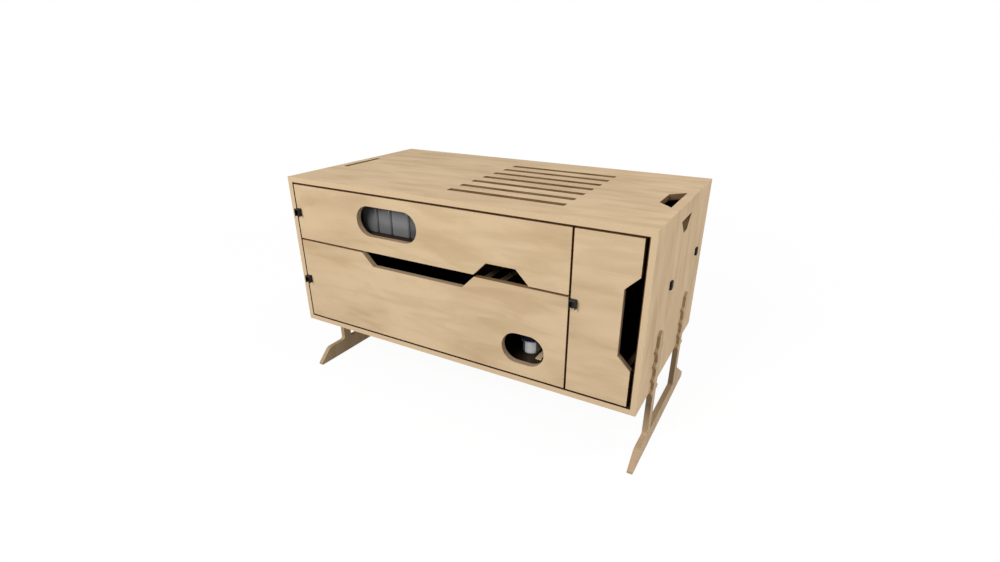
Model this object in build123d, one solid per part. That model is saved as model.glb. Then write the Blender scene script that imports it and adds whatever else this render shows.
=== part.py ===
"""Chuck box: a plywood drawer case on two toothed leg frames, one STEP file for each piece."""
from build123d import *
import os

os.makedirs("parts", exist_ok=True)

# Lengths are in millimetres. While it is built, the case has its front lower left corner at zero,
# with X to the right, Y to the back and Z up. Pieces are moved to the floor when they are written.

# ---- Case ----
case_width = 800.0
case_depth = 427.0
case_height = 339.0
ply = 12.0                  # case panels and drawer fronts
back_ply = 9.0
reveal = 3.0                # gap between the left fronts and the case, and above and below the right one
middle_gap = 4.2            # between neighbouring fronts
right_gap = 6.5             # between the right front and the case's side
right_front_width = 115.7
split_drop = 137.0          # from the top of the case to the middle of the gap between the left fronts
front_seat = 0.5            # from the back of the fronts to the divider
spline_width = 6.0
spline_thick = 2.5
spline_depth = 8.5          # from the outer faces to the middle of a corner spline
spline_inset = 20.0
spline_clear = 0.05

# ---- Cut-outs in the case ----
vent_count = 7
vent_left = 369.0
vent_length = 248.0
vent_width = 16.5
vent_pitch = 44.6
vent_corner = 3.0
hand_hole_depth = 27.6
top_hole_length = 124.0
top_hole_inset = 17.2       # from the right side of the case to the long side of the hole
side_hole_length = 78.0
side_hole_inset = 29.0      # from the top of the case to the long side of the hole
strap_slot_length = 119.0
strap_slot_width = 10.0
strap_slot_inset = 19.0

# ---- Drawer fronts ----
notch_depth = 27.4          # pull notches have ends at 45 degrees
notch_inset = 192.7         # from the right end of the left fronts to where their two notches meet
notch_overlap = 1.2         # how far the two notches pass each other
lower_notch_length = 277.1
upper_notch_length = 116.6
right_notch_depth = 24.8
right_notch_length = 173.2
right_notch_height = 172.9
window_height = 63.2
upper_window_length = 152.5
upper_window_middle = 264.4
upper_window_lift = 68.3    # from the gap between the left fronts to the window's middle
lower_window_length = 89.5
lower_window_inset = 87.2   # from the right end of the left fronts to the window's middle
lower_window_lift = 72.0

# ---- Drawer boxes ----
box_ply = 9.0
floor_ply = 6.0
box_end_gap = 16.0          # from the boxes to the back panel
box_foot = 2.0              # from the front's lower edge to the box's sides
floor_lift = 4.0            # from the lower edge of the sides to the floor
floor_over_notch = 0.5
groove_depth = 4.5
groove_clear = 0.15
upper_box_gap = 12.0        # from the top of the upper front to its box
box_under_notch = 7.5       # from the lower front's notch to its box
right_box_height = 67.0
partition_ply = 15.0
partition_inset = 127.3     # from the first board in the lower drawer to the lower window's middle
partition_pitch = 36.3
batten_width = 12.0
batten_height = 3.0
batten_front = 51.6
batten_offset = 10.1        # from the lower window's middle to the batten's middle

# ---- Dowels ----
dowel_radius = 2.5
dowel_clear = 0.05
dowel_shallow = 6.0
dowel_deep = 16.0
dowel_end_gap = 0.3

# ---- Slides ----
slide_space = 12.7          # between the case and the drawer box
slide_front = 30.0
slide_end_gap = 2.0         # from the slides to the back of the boxes
slide_steel = 1.5
case_member_height = 45.0
case_member_width = 12.2
drawer_member_height = 28.0
drawer_member_width = 9.7
ball_clear = 0.1
ball_count = 5
ball_pitch = 18.0
cage_thick = 1.6
cage_width = 10.2
cage_length = 95.0
upper_slide_lift = 68.0     # from the gap between the left fronts to the slide's middle
lower_slide_lift = 91.0
right_slide_lift = 50.5
cage_gap = 0.3              # from the case member to the cage
cage_link = 0.8
screw_radius = 1.75
screw_clear = 0.05
screw_depth = 6.0
screw_head_radius = 3.5
screw_head_height = 1.5
screw_inset = 20.0

# ---- Latches ----
knob_width = 12.5
knob_height = 17.0
knob_proud = 10.0
knob_edge = 0.8
knob_gap = 0.3
hood_wall = 1.2             # thickness of the hood's sides
hood_lid = 2.4              # thickness of the hood's top
hood_plate = 2.2            # thickness of the plate that carries the spindle
spindle_radius = 3.0
spindle_clear = 0.05
nose_radius = 2.0
rivet_radius = 2.8
rivet_height = 1.0
bush_radius = 4.25
bush_clear = 0.02
cam_setback = 12.0          # from the back of the front to the cam
cam_thick = 3.0
cam_width = 6.0
cam_reach = 15.0
mortise_clear = 0.5
mortise_drop = 16.0
right_latch_height = 191.0

# ---- Leg frames ----
stand_height = 136.0        # from the floor to the case
leg_middle = 206.75         # from the front of the case to the middle between the prongs
leg_ply = 11.0
leg_seat = 5.0              # how far the prongs stand in the case side
leg_clear = 0.3
prong_width = 22.5
prong_pitch = 204.0
prong_top = 124.0
prong_chamfer = 9.5
prong_crown = 6.5           # height of the chamfers on top of a prong
tooth_out = 10.5
tooth_land = 6.0
tooth_rise = 4.5            # height of the slope on top of a tooth
tooth_pitch = 30.0
tooth_first = -6.0
tooth_count = 4
rail_height = 35.0
rail_corner = 4.0
toe_length = 84.5           # in front of the first prong
toe_slope = 32.0
toe_tip = 5.0               # height of the toe's end
toe_shoulder = 20.0         # radius between the toe's slope and the rail
toe_neck = 7.0              # radius between the rail and the first prong
heel_length = 85.0          # behind the second prong
heel_top = 70.0             # height of the heel at the prong, above the floor
heel_end = 12.0
heel_corner = 8.0
magnet_radius = 5.0
magnet_thick = 2.5
magnet_clear = 0.05
magnet_height = 78.0

# ---- Side studs ----
stud_width = 12.0
stud_height = 16.0
stud_proud = 4.5
stud_edge = 1.5
stud_shank_radius = 2.5
stud_shank_length = 9.0
stud_front = 142.5
stud_pitch = 214.0
stud_lift = 199.5

# ---- Kitchen ware kept in the drawers ----
canister_left = 173.0
canister_widths = (44.0, 36.0, 46.0, 42.0)
canister_gap = 0.6
canister_depth = 60.0
canister_headroom = 8.0     # from the canisters to the top of their drawer box
canister_corner = 5.0
canister_setback = 18.0
cup_inset = 17.9            # from the cup's middle to the lower window's middle
cup_setback = 67.5
cup_foot_radius = 19.2
cup_foot_height = 31.0
cup_radius = 28.0
cup_height = 62.0
cup_wall = 1.5
cup_edge = 2.0

# ---- Lines that follow from the sizes above ----
mid_depth = (case_depth - ply) / 2
inner_left = ply
inner_right = case_width - ply
inner_top = case_height - ply
front_left = inner_left + reveal
front_right = inner_right - right_gap
front_low = ply + reveal
front_high = inner_top - reveal
right_front_left = front_right - right_front_width
divider_right = right_front_left - middle_gap
divider_left = divider_right - ply
divider_front = ply + front_seat
back_face = case_depth - back_ply
split_height = case_height - split_drop
lower_front_high = split_height - middle_gap / 2
upper_front_low = split_height + middle_gap / 2
upper_floor = upper_front_low + notch_depth + floor_over_notch
lower_box_top = lower_front_high - notch_depth - box_under_notch
notch_meet = divider_right - notch_inset
lower_window_middle = divider_right - lower_window_inset
cup_middle = lower_window_middle - cup_inset
box_back = back_face - box_end_gap
slide_length = box_back - slide_end_gap - slide_front
ball_radius = (case_member_height / 2 - slide_steel - drawer_member_height / 2) / 2 - ball_clear
ball_lift = (case_member_height / 2 - slide_steel + drawer_member_height / 2) / 2
ball_line = slide_space - drawer_member_width + (drawer_member_width - slide_steel) / 2
latch_offset = knob_width / 2 + 0.05
cam_front = ply + cam_setback
leg_face = leg_seat - leg_ply
prong_front_y = leg_middle - prong_pitch / 2
prong_back_y = leg_middle + prong_pitch / 2


# ---- Plain shapes ----
def block(x0, x1, y0, y1, z0, z1):
    """A box between two corners."""
    return Pos((x0 + x1) / 2, (y0 + y1) / 2, (z0 + z1) / 2) * Box(x1 - x0, y1 - y0, z1 - z0)


def rod_x(x0, x1, y, z, radius):
    """A round bar along X."""
    return Pos((x0 + x1) / 2, y, z) * Rot(0, 90, 0) * Cylinder(radius, abs(x1 - x0))


def rod_y(x, y0, y1, z, radius):
    """A round bar along Y."""
    return Pos(x, (y0 + y1) / 2, z) * Rot(90, 0, 0) * Cylinder(radius, abs(y1 - y0))


def rod_z(x, y, z0, z1, radius):
    """A round bar along Z."""
    return Pos(x, y, (z0 + z1) / 2) * Cylinder(radius, abs(z1 - z0))


def board_xz(points, y0, y1):
    """A flat board whose outline is drawn in X and Z."""
    outline = Polyline(*[(x, y0, z) for x, z in points], close=True)
    return extrude(make_face(outline), amount=y1 - y0, dir=(0, 1, 0))


def board_yz(points, x0, x1, grow=0.0):
    """A flat board whose outline is drawn in Y and Z, made larger all round by grow."""
    face = make_face(Polyline(*[(x0, y, z) for y, z in points], close=True))
    if grow:
        face = offset(face, amount=grow, kind=Kind.INTERSECTION)
    return extrude(face, amount=x1 - x0, dir=(1, 0, 0))


def board_xy(points, z0, z1):
    """A flat board whose outline is drawn in X and Y."""
    outline = Polyline(*[(x, y, z0) for x, y in points], close=True)
    return extrude(make_face(outline), amount=z1 - z0, dir=(0, 0, 1))


def trapezoid(middle, length, base, depth):
    """Corners of a cut with ends at 45 degrees: along the first axis, from base to base + depth."""
    half = length / 2
    short = half - abs(depth)
    end = base + depth
    return [(middle - half, base), (middle + half, base), (middle + short, end), (middle - short, end)]


def edge_notch(middle, length, base, depth):
    """A trapezoid that also runs out past the edge it is cut from."""
    half = length / 2
    over = base - 1.0 if depth > 0 else base + 1.0
    corners = trapezoid(middle, length, base, depth)
    return [(middle - half, over), (middle + half, over)] + corners[1:] + corners[:1]


def turned(points):
    """The same points with the two axes changed over."""
    return [(b, a) for a, b in points]


def stadium(x, z, length, height, y0, y1):
    """A long hole with round ends, through a board in X and Z."""
    radius = height / 2
    reach = length / 2 - radius
    middle = block(x - reach, x + reach, y0, y1, z - radius, z + radius)
    return middle + rod_y(x - reach, y0, y1, z, radius) + rod_y(x + reach, y0, y1, z, radius)


class Dowels:
    """Dowels across a joint, with the holes that they need."""

    def __init__(self):
        self.pins = []
        self.holes = []

    def add(self, make, start, end):
        """make(a, b, radius) draws a bar from a to b."""
        self.pins.append(make(start, end, dowel_radius))
        self.holes.append(make(start - dowel_end_gap, end + dowel_end_gap, dowel_radius + dowel_clear))

    def cut(self, piece):
        for hole in self.holes:
            piece -= hole
        return piece


def write(name, *solids):
    """Move the solids to the floor and write them as one node."""
    place = Pos(-case_width / 2, -(case_depth - knob_proud) / 2, stand_height)
    placed = [place * solid for solid in solids]
    shape = placed[0] if len(placed) == 1 else Compound(children=placed)
    export_step(shape, f"parts/{name}.step")


# ---- Leg frames ----
def prong_side(edge, out, upward):
    """Points up one toothed edge of a prong; out is -1 for teeth to the front and 1 for teeth to the back."""
    points = []
    for index in range(tooth_count):
        shelf = tooth_first + index * tooth_pitch
        tip = edge + out * tooth_out
        points += [(edge, shelf), (tip, shelf), (tip, shelf + tooth_land)]
        points.append((edge, shelf + tooth_land + tooth_rise))
    points += [(edge, prong_top - prong_crown), (edge - out * prong_chamfer, prong_top)]
    return points if upward else points[::-1]


def leg_outline():
    """Outline of a leg frame in Y and Z, and the radius of each corner that is round."""
    floor = -stand_height
    rail = floor + rail_height
    front_a = prong_front_y - prong_width / 2
    back_a = prong_front_y + prong_width / 2
    front_b = prong_back_y - prong_width / 2
    back_b = prong_back_y + prong_width / 2
    toe = front_a - toe_length
    heel = back_b + heel_length
    points = [(toe, floor), (toe, floor + toe_tip), (toe + toe_slope, rail), (front_a, rail)]
    points += prong_side(front_a, -1, True) + prong_side(back_a, 1, False)
    points += [(back_a, rail), (front_b, rail)]
    points += prong_side(front_b, -1, True) + prong_side(back_b, 1, False)
    points += [(back_b, floor + heel_top), (heel, floor + heel_end), (heel, floor)]
    round_corners = {(toe + toe_slope, rail): toe_shoulder, (front_a, rail): toe_neck,
                     (back_a, rail): rail_corner, (front_b, rail): rail_corner,
                     (heel, floor + heel_end): heel_corner}
    return points, round_corners


def magnet_spots():
    """Middle of each magnet in Y."""
    return [prong_front_y, prong_back_y]


def leg_frame(mirrored):
    """One leg frame with its magnets, for the left side or mirrored for the right."""
    points, round_corners = leg_outline()
    leg = board_yz(points, leg_face, leg_seat)
    for (y, z), radius in round_corners.items():
        corner = Vertex((leg_face + leg_seat) / 2, y, z)
        leg = fillet(leg.edges().filter_by(Axis.X).sort_by_distance(corner)[0], radius)
    magnets = []
    for y in magnet_spots():
        leg -= rod_x(leg_seat - magnet_thick, leg_seat + 1, y, magnet_height, magnet_radius + magnet_clear)
        magnets.append(rod_x(leg_seat - magnet_thick, leg_seat, y, magnet_height, magnet_radius))
    if mirrored:
        leg = across(leg)
        magnets = [across(magnet) for magnet in magnets]
    return leg, magnets


def across(piece):
    """The same piece on the other side of the case."""
    return mirror(piece, Plane.YZ.offset(case_width / 2))


def leg_pocket():
    """What the left leg frame needs cut from the case side."""
    points = leg_outline()[0]
    pocket = board_yz(points, leg_face - leg_clear, leg_seat + leg_clear, leg_clear)
    end = leg_seat + leg_clear + magnet_thick
    for y in magnet_spots():
        pocket += rod_x(leg_seat, end, y, magnet_height, magnet_radius + magnet_clear)
    return pocket


def pocket_magnets():
    """Magnets let into the floor of the left pocket."""
    start = leg_seat + leg_clear
    return [rod_x(start, start + magnet_thick, y, magnet_height, magnet_radius) for y in magnet_spots()]


# ---- Case ----
def corner_spline(x, z, turn, extra):
    """A loose tongue across one mitred corner."""
    length = case_depth - 2 * spline_inset + 2 * extra
    bar = Box(spline_width + 2 * extra, length, spline_thick + 2 * extra)
    return Pos(x, case_depth / 2, z) * Rot(0, turn, 0) * bar


def corner_splines(extra=0.0):
    """The four tongues: lower left, upper left, lower right and upper right."""
    near = spline_depth
    return [corner_spline(near, near, 45, extra), corner_spline(near, case_height - near, -45, extra),
            corner_spline(case_width - near, near, -45, extra),
            corner_spline(case_width - near, case_height - near, 45, extra)]


def latch_mortise(wall, gap, height):
    """Room in a case wall for a latch cam, past the gap beside the drawer front."""
    reach = latch_offset + gap
    depth = cam_reach + mortise_clear - reach
    return block(wall - depth, wall + 1, cam_front - mortise_clear, cam_front + cam_thick + mortise_clear,
                 height - mortise_drop, height + cam_width / 2 + mortise_clear * 3)


def stud_places():
    """Y of each side stud."""
    return [stud_front, stud_front + stud_pitch]


def side_stud(y):
    """A moulded stud on the left side, with its shank in the panel."""
    cap = block(-stud_proud, 0, y - stud_width / 2, y + stud_width / 2, stud_lift - stud_height / 2,
                stud_lift + stud_height / 2)
    cap = fillet(cap.faces().sort_by(Axis.X)[0].edges(), stud_edge)
    return cap + rod_x(-stud_edge, stud_shank_length, y, stud_lift, stud_shank_radius)


def case_side(latches):
    """The left side of the case."""
    side = board_xz([(0, 0), (0, case_height), (ply, inner_top), (ply, ply)], 0, case_depth)
    long_side = case_height - side_hole_inset
    side -= board_yz(trapezoid(mid_depth, side_hole_length, long_side, -hand_hole_depth + 1), -1, ply + 1)
    side -= leg_pocket()
    for y in stud_places():
        side -= rod_x(-1, stud_shank_length + dowel_end_gap, y, stud_lift, stud_shank_radius + screw_clear)
    for height in latches:
        side -= latch_mortise(ply, reveal, height)
    for tongue in corner_splines(spline_clear):
        side -= tongue
    return side


def top_panel():
    """The top with its vents, hand hole and strap slot."""
    corners = [(0, case_height), (case_width, case_height), (inner_right, inner_top), (ply, inner_top)]
    top = board_xz(corners, 0, case_depth)
    low = inner_top - 1
    high = case_height + 1
    first = mid_depth - (vent_count - 1) * vent_pitch / 2
    for index in range(vent_count):
        slot = block(vent_left, vent_left + vent_length, first + index * vent_pitch - vent_width / 2,
                     first + index * vent_pitch + vent_width / 2, low, high)
        top -= fillet(slot.edges().filter_by(Axis.Z), vent_corner)
    hole = trapezoid(mid_depth, top_hole_length, case_width - top_hole_inset, -hand_hole_depth)
    top -= board_xy(turned(hole), low, high)
    slot = block(strap_slot_inset, strap_slot_inset + strap_slot_width, mid_depth - strap_slot_length / 2,
                 mid_depth + strap_slot_length / 2, low, high)
    top -= fillet(slot.edges().filter_by(Axis.Z), vent_corner)
    for tongue in corner_splines(spline_clear):
        top -= tongue
    return top


def bottom_panel():
    """The bottom, mitred at both ends."""
    bottom = board_xz([(0, 0), (case_width, 0), (inner_right, ply), (ply, ply)], 0, case_depth)
    bottom -= leg_pocket()
    bottom -= across(leg_pocket())
    for tongue in corner_splines(spline_clear):
        bottom -= tongue
    return bottom


def case_dowels():
    """Dowels that hold the divider and the back."""
    dowels = Dowels()
    middle = (divider_left + divider_right) / 2
    for y in (spline_inset * 3, mid_depth, back_face - spline_inset * 3):
        for low, way in ((ply, 1), (inner_top, -1)):
            ends = sorted((low - way * dowel_shallow, low + way * dowel_deep))
            dowels.add(lambda a, b, r: rod_z(middle, y, a, b, r), *ends)
    y = case_depth - back_ply / 2
    for z in (case_height / 4, case_height * 3 / 4):
        for start, end in ((-dowel_shallow, dowel_deep), (-dowel_deep, dowel_shallow)):
            wall = inner_left if end == dowel_deep else inner_right
            dowels.add(lambda a, b, r: rod_x(a, b, y, z, r), wall + start, wall + end)
    return dowels


# ---- Drawers ----
class Drawer:
    """The lines of one drawer, and the pieces that follow from them."""

    def __init__(self, name, front, walls, box, slide_z, latch_z):
        """front is left, right, low and high; walls is left and right; box is low and high."""
        self.name = name
        self.left, self.right, self.low, self.high = front
        self.walls = walls
        self.box_left = walls[0] + slide_space
        self.box_right = walls[1] - slide_space
        self.box_low, self.box_high = box
        self.floor = self.box_low + floor_lift
        self.slide_z = slide_z
        self.latch_x = self.left + latch_offset
        self.latch_z = latch_z

    def sides(self):
        """Each case wall with the direction from it to the drawer."""
        return [(self.walls[0], 1), (self.walls[1], -1)]

    def box_dowels(self):
        """Dowels from the front into the sides, and from the sides into the back."""
        dowels = Dowels()
        near = (self.box_high - self.box_low) / 5
        for z in (self.box_low + near + floor_lift, self.box_high - near):
            for x in (self.box_left + box_ply / 2, self.box_right - box_ply / 2):
                dowels.add(lambda a, b, r: rod_y(x, a, b, z, r), ply - dowel_shallow, ply + dowel_deep)
            y = box_back - box_ply / 2
            dowels.add(lambda a, b, r: rod_x(a, b, y, z, r), self.box_left + box_ply - dowel_shallow,
                       self.box_left + box_ply + dowel_deep)
            dowels.add(lambda a, b, r: rod_x(a, b, y, z, r), self.box_right - box_ply - dowel_deep,
                       self.box_right - box_ply + dowel_shallow)
        return dowels

    def front_panel(self, cuts):
        """The front, flush with the case, with its window and pull notch."""
        front = block(self.left, self.right, 0, ply, self.low, self.high)
        for cut in cuts:
            front -= cut
        return front - rod_y(self.latch_x, -1, ply + 1, self.latch_z, bush_radius + bush_clear)

    def floor_panel(self, clear=0.0):
        """The floor in its grooves, or the grooves themselves where clear is more than zero."""
        inset = box_ply - groove_depth + groove_clear - clear
        return block(self.box_left + inset, self.box_right - inset, ply, box_back - inset, self.floor - clear,
                     self.floor + floor_ply + clear)

    def side_panels(self):
        """The two long sides of the box."""
        left = block(self.box_left, self.box_left + box_ply, ply, box_back, self.box_low, self.box_high)
        right = block(self.box_right - box_ply, self.box_right, ply, box_back, self.box_low, self.box_high)
        return left, right

    def back_panel(self):
        """The back, between the sides."""
        left = self.box_left + box_ply
        right = self.box_right - box_ply
        return block(left, right, box_back - box_ply, box_back, self.box_low, self.box_high)

    def case_members(self):
        """Channels screwed to the case."""
        width, height = case_member_width, case_member_height
        return [self.member(wall, way, 0, width, height, False) for wall, way in self.sides()]

    def drawer_members(self):
        """Channels screwed to the box, open towards the case."""
        near = slide_space - drawer_member_width
        return [self.member(wall, way, near, slide_space, drawer_member_height, True)
                for wall, way in self.sides()]

    def member(self, wall, way, near, far, height, web_far):
        """A C-shaped channel between two distances from the wall."""
        web = far - slide_steel if web_far else near
        half = height / 2
        back = slide_front + slide_length
        pieces = self.strip(wall, way, web, web + slide_steel, slide_front, back, -half, half)
        for low in (-half, half - slide_steel):
            pieces += self.strip(wall, way, near, far, slide_front, back, low, low + slide_steel)
        if web_far:
            for y in screw_places():
                end = web + slide_steel + 1
                pieces -= self.across_slide(wall, way, web - 1, end, y, screw_radius + screw_clear)
        else:
            for hole in self.case_screws(screw_clear):
                pieces -= hole
        return pieces

    def strip(self, wall, way, near, far, y0, y1, low, high):
        """A bar at two distances from the wall, at heights measured from the slide's middle."""
        a = wall + way * near
        b = wall + way * far
        return block(min(a, b), max(a, b), y0, y1, self.slide_z + low, self.slide_z + high)

    def across_slide(self, wall, way, near, far, y, radius):
        """A round bar across the slide."""
        a = wall + way * near
        b = wall + way * far
        return rod_x(min(a, b), max(a, b), y, self.slide_z, radius)

    def case_screws(self, extra=0.0):
        """Countersunk screws, flush with the webs of the case members."""
        start = -screw_depth - extra
        made = []
        for wall, way in self.sides():
            for y in screw_places():
                shank = self.across_slide(wall, way, start, slide_steel, y, screw_radius + extra)
                depth = screw_head_radius - screw_radius
                x = wall + way * (slide_steel - depth / 2)
                head = Cone(screw_radius + extra, screw_head_radius + extra, depth)
                made.append(shank + Pos(x, y, self.slide_z) * Rot(0, 90 * way, 0) * head)
        return made

    def drawer_screws(self, extra=0.0):
        """Pan head screws through the webs of the drawer members."""
        made = []
        web = slide_space - slide_steel
        end = slide_space + screw_depth + extra
        for wall, way in self.sides():
            for y in screw_places():
                shank = self.across_slide(wall, way, web, end, y, screw_radius + extra)
                head = self.across_slide(wall, way, web - screw_head_height, web, y, screw_head_radius)
                made.append(shank + head)
        return made

    def cages(self):
        """A ball cage round each drawer member, with its balls above and below."""
        middle = slide_front + slide_length / 2
        front = middle - cage_length / 2
        back = middle + cage_length / 2
        first = middle - (ball_count - 1) * ball_pitch / 2
        near = slide_steel + cage_gap
        half = cage_thick / 2
        made = []
        for wall, way in self.sides():
            cage = self.strip(wall, way, near, near + cage_link, front, back, -ball_lift, ball_lift)
            for lift in (-ball_lift, ball_lift):
                cage += self.strip(wall, way, near, near + cage_width, front, back, lift - half, lift + half)
            for lift in (-ball_lift, ball_lift):
                for index in range(ball_count):
                    x = wall + way * ball_line
                    y = first + index * ball_pitch
                    z = self.slide_z + lift
                    cage -= rod_z(x, y, z - cage_thick, z + cage_thick, ball_radius + ball_clear)
                    made.append(Pos(x, y, z) * Sphere(ball_radius))
            made.append(cage)
        return made

    def latch_knob(self):
        """A hooded knob, open at its front and bottom, on a spindle that passes through the front."""
        x = self.latch_x
        z = self.latch_z
        body = block(x - knob_width / 2, x + knob_width / 2, -knob_proud, -knob_gap, z - knob_height / 2,
                     z + knob_height / 2)
        body = fillet(body.faces().sort_by(Axis.Y)[0].edges() + body.edges().filter_by(Axis.Y), knob_edge)
        half = knob_width / 2 - hood_wall
        body -= block(x - half, x + half, -knob_proud - 1, -knob_gap - hood_plate, z - knob_height,
                      z + knob_height / 2 - hood_lid)
        nose_end = cam_front + cam_thick
        knob = body + rod_y(x, -knob_edge, cam_front, z, spindle_radius)
        knob += rod_y(x, cam_front, nose_end, z, nose_radius)
        return knob + rod_y(x, nose_end, nose_end + rivet_height, z, rivet_radius)

    def latch_cam(self):
        """The cam, which hangs down when the drawer is free."""
        x = self.latch_x
        z = self.latch_z
        half = cam_width / 2
        cam = block(x - half, x + half, cam_front, cam_front + cam_thick, z - cam_reach, z)
        cam = chamfer(cam.edges().filter_by(Axis.Y).group_by(Axis.Z)[0], half / 2)
        cam += rod_y(x, cam_front, cam_front + cam_thick, z, half)
        return cam - rod_y(x, cam_front - 1, cam_front + cam_thick + 1, z, nose_radius + spindle_clear)

    def latch_bush(self):
        """A plain sleeve in the front."""
        sleeve = rod_y(self.latch_x, 0, ply, self.latch_z, bush_radius)
        return sleeve - rod_y(self.latch_x, -1, ply + 1, self.latch_z, spindle_radius + spindle_clear)

    def write_all(self, cuts):
        """Write every piece of the drawer, its slides and its latch."""
        dowels = self.box_dowels()
        left, right = self.side_panels()
        back = self.back_panel()
        groove = self.floor_panel(groove_clear)
        left = dowels.cut(left - groove)
        right = dowels.cut(right - groove)
        for hole in self.drawer_screws(screw_clear):
            left -= hole
            right -= hole
        write(f"{self.name}_front", dowels.cut(self.front_panel(cuts)))
        write(f"{self.name}_box_left", left)
        write(f"{self.name}_box_right", right)
        write(f"{self.name}_box_back", dowels.cut(back - groove))
        write(f"{self.name}_floor", self.floor_panel())
        write(f"{self.name}_dowels", *dowels.pins)
        write(f"{self.name}_slide_case_members", *self.case_members())
        write(f"{self.name}_slide_drawer_members", *self.drawer_members())
        write(f"{self.name}_slide_cages", *self.cages())
        write(f"{self.name}_slide_screws", *self.drawer_screws())
        write(f"{self.name}_latch_knob", self.latch_knob())
        write(f"{self.name}_latch_cam", self.latch_cam())
        write(f"{self.name}_latch_bush", self.latch_bush())


def screw_places():
    """Y of the screws along a slide."""
    end = slide_front + slide_length
    return [slide_front + screw_inset, (slide_front + end) / 2, end - screw_inset]


def lower_partitions(drawer):
    """Two boards that stand on edge in the lower drawer, and a batten that lies on its floor."""
    low = drawer.floor + floor_ply
    made = []
    for index in range(2):
        left = lower_window_middle - partition_inset - partition_ply / 2 + index * partition_pitch
        made.append(block(left, left + partition_ply, ply, box_back - box_ply, low, drawer.box_high))
    left = lower_window_middle + batten_offset - batten_width / 2
    made.append(block(left, left + batten_width, batten_front, box_back - box_ply, low, low + batten_height))
    return made


# ---- Kitchen ware ----
def canisters(drawer):
    """Closed canisters in a row behind the upper window."""
    low = drawer.floor + floor_ply
    high = drawer.box_high - canister_headroom
    front = ply + canister_setback
    left = canister_left
    made = []
    for width in canister_widths:
        body = block(left, left + width - canister_gap, front, front + canister_depth, low, high)
        made.append(fillet(body.edges().filter_by(Axis.Z), canister_corner))
        left += width
    return made


def footed_cup(drawer):
    """A cup on a narrower foot, behind the lower window."""
    low = drawer.floor + floor_ply
    y = ply + cup_setback
    shoulder = low + cup_foot_height
    bowl = rod_z(cup_middle, y, shoulder, low + cup_height, cup_radius)
    bowl = fillet(bowl.faces().sort_by(Axis.Z)[0].edges(), cup_edge)
    bowl -= rod_z(cup_middle, y, shoulder + cup_wall, low + cup_height + 1, cup_radius - cup_wall)
    return bowl + rod_z(cup_middle, y, low, shoulder, cup_foot_radius)


# ---- The three drawers ----
upper = Drawer("upper", (front_left, divider_right, upper_front_low, front_high), (inner_left, divider_left),
               (upper_floor - floor_lift, front_high - upper_box_gap), split_height + upper_slide_lift,
               (upper_front_low + front_high) / 2)
lower = Drawer("lower", (front_left, divider_right, front_low, lower_front_high), (inner_left, divider_left),
               (front_low + box_foot, lower_box_top), lower_slide_lift,
               (front_low + lower_front_high) / 2)
right = Drawer("right", (right_front_left, front_right, front_low, front_high), (divider_right, inner_right),
               (front_low + box_foot, front_low + box_foot + right_box_height), right_slide_lift,
               right_latch_height)
drawers = [upper, lower, right]

upper_window_z = split_height + upper_window_lift
upper_notch_x = notch_meet + (upper_notch_length - notch_overlap) / 2
upper_notch = edge_notch(upper_notch_x, upper_notch_length, upper_front_low, notch_depth)
lower_notch_x = notch_meet - (lower_notch_length - notch_overlap) / 2
lower_notch = edge_notch(lower_notch_x, lower_notch_length, lower_front_high, -notch_depth)
right_notch = edge_notch(right_notch_height, right_notch_length, front_right, -right_notch_depth)
upper_window = (upper_window_middle, upper_window_z, upper_window_length, window_height)
upper_cuts = [stadium(*upper_window, -1, ply + 1),
              board_xz(upper_notch, -1, ply + 1)]
lower_window = (lower_window_middle, lower_window_lift, lower_window_length, window_height)
lower_cuts = [stadium(*lower_window, -1, ply + 1),
              board_xz(lower_notch, -1, ply + 1)]
right_cuts = [board_xz(turned(right_notch), -1, ply + 1)]
upper.write_all(upper_cuts)
lower.write_all(lower_cuts)
right.write_all(right_cuts)
write("lower_box_partitions", *lower_partitions(lower))

# ---- The case ----
dowels = case_dowels()
left_side = dowels.cut(case_side([upper.latch_z, lower.latch_z]))
right_side = dowels.cut(across(case_side([])))
divider = block(divider_left, divider_right, divider_front, back_face, ply, inner_top)
divider = dowels.cut(divider - latch_mortise(divider_right, middle_gap, right.latch_z))
case_screws = []
for drawer in drawers:
    case_screws += drawer.case_screws()
    for hole in drawer.case_screws(screw_clear):
        left_side -= hole
        right_side -= hole
        divider -= hole
write("left_side", left_side)
write("right_side", right_side)
write("top_panel", dowels.cut(top_panel()))
write("bottom_panel", dowels.cut(bottom_panel()))
write("back_panel", dowels.cut(block(inner_left, inner_right, back_face, case_depth, ply, inner_top)))
write("divider", divider)
write("corner_splines", *corner_splines())
write("case_dowels", *dowels.pins)
write("slide_case_screws", *case_screws)
studs = [side_stud(y) for y in stud_places()]
write("side_studs", *studs, *[across(stud) for stud in studs])

# ---- Leg frames and their magnets ----
for side, mirrored in (("left", False), ("right", True)):
    leg, magnets = leg_frame(mirrored)
    write(f"{side}_leg", leg)
    write(f"{side}_leg_magnets", *magnets)
magnets = pocket_magnets()
write("case_magnets", *magnets, *[across(magnet) for magnet in magnets])

# ---- Kitchen ware ----
write("canisters", *canisters(upper))
write("cup", footed_cup(lower))
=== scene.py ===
"""Finishes, kitchen ware and stage for a plywood chuck box on two toothed leg frames.

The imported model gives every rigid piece. This file gives each piece its finish, turns the plain
canisters and the cup into moulded and spun ones, and sets up the floor, the lamps and the camera.
All lengths are in metres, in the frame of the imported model: X along the box, Y to the back, Z up.
"""

import math

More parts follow.
